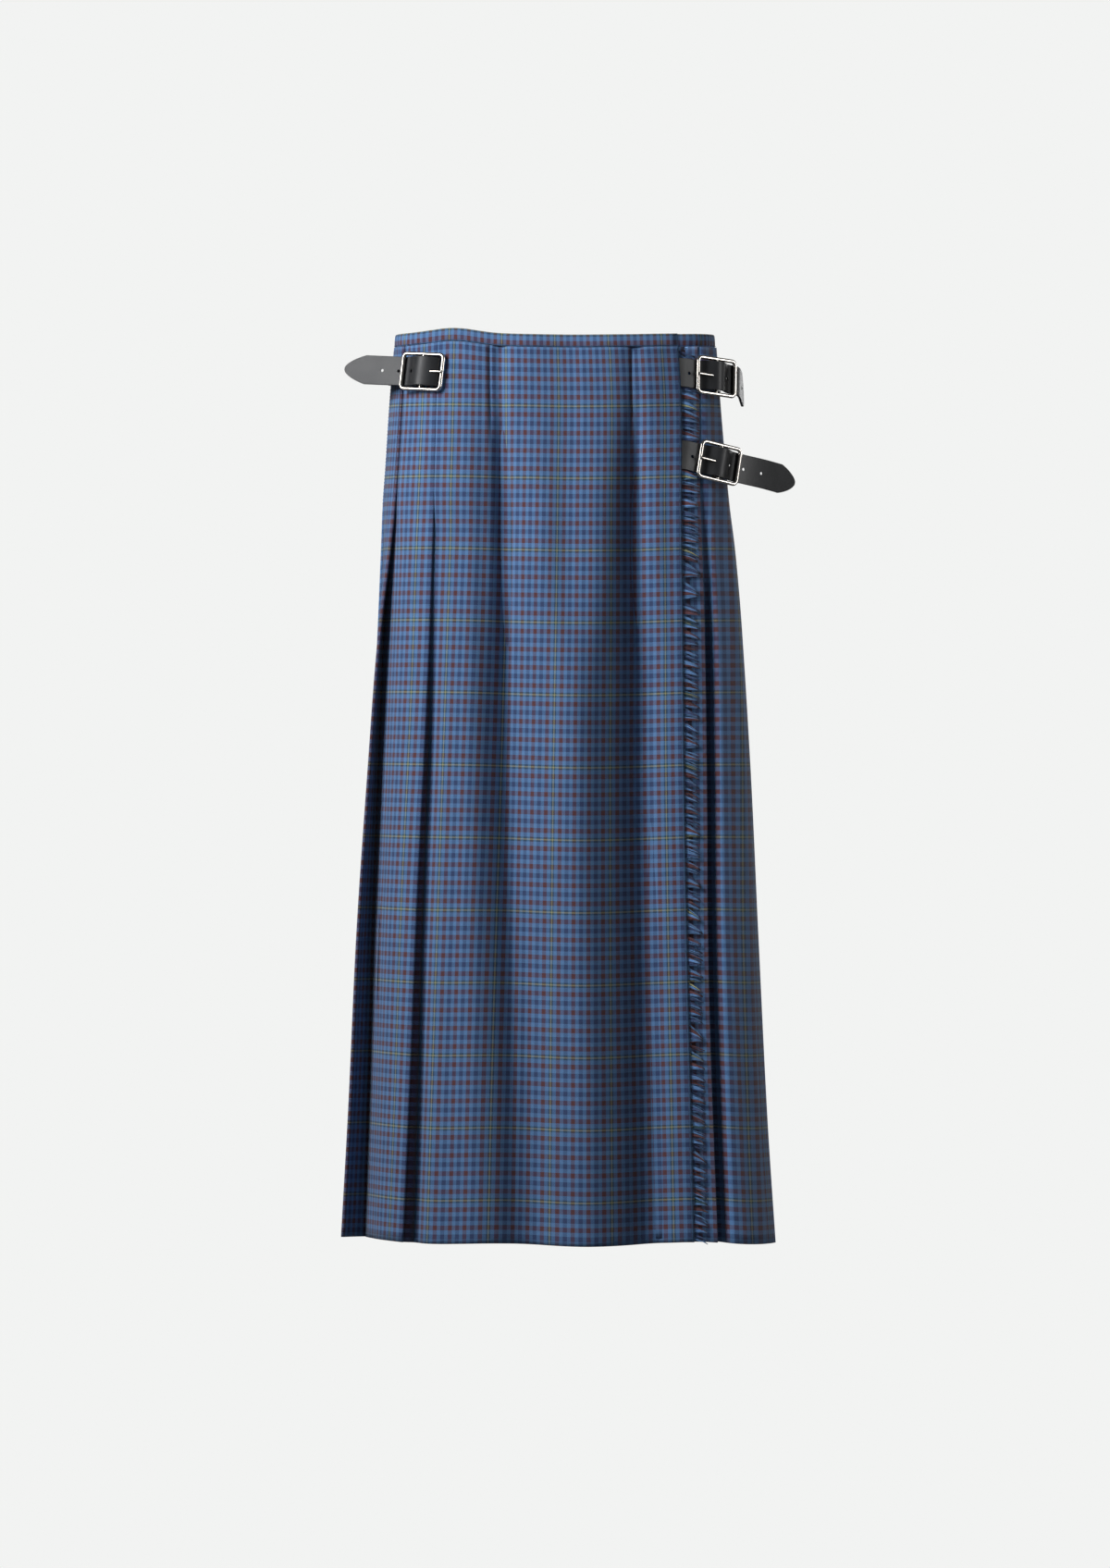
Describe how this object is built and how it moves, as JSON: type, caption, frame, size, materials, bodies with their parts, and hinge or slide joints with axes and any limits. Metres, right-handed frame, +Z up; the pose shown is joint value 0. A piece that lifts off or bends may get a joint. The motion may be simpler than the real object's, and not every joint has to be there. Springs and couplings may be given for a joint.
{
  "type": "wrap skirt",
  "caption": "Long wrap skirt with a smooth front apron, a fringed free edge, knife pleats stitched down over the hips, and strap-and-buckle fastenings at the waist.",
  "frame": {"origin": "middle of the waist opening, at half the height of the waistband", "axes": "+Z up along the skirt, front towards -Y, +X towards the wearer's left"},
  "size_m": [0.3859, 0.2563, 0.7905],
  "materials": {
    "check_cloth": "matt woven wool in a mid blue check with maroon and navy bands and a thin yellow line",
    "fringe_yarn": "loose wool threads in the colours of the check",
    "strap_leather": "smooth black leather, half gloss",
    "nickel": "bright nickel plate"
  },
  "bodies": {
    "root": {"apron": "check_cloth", "under_apron": "check_cloth", "pleats_right": "check_cloth", "pleats_back_right": "check_cloth", "pleats_back_left": "check_cloth", "pleats_left": "check_cloth", "waistband": "check_cloth", "fringe": "fringe_yarn", "strap_right_hip": "strap_leather", "strap_left_hip_upper": "strap_leather", "strap_left_hip_lower": "strap_leather", "tab_right_hip": "strap_leather", "tab_left_hip_upper": "strap_leather", "tab_left_hip_lower": "strap_leather", "frame_right_hip": "nickel", "frame_left_hip_upper": "nickel", "frame_left_hip_lower": "nickel", "prong_right_hip": "nickel", "prong_left_hip_upper": "nickel", "prong_left_hip_lower": "nickel"}
  },
  "joints": []
}
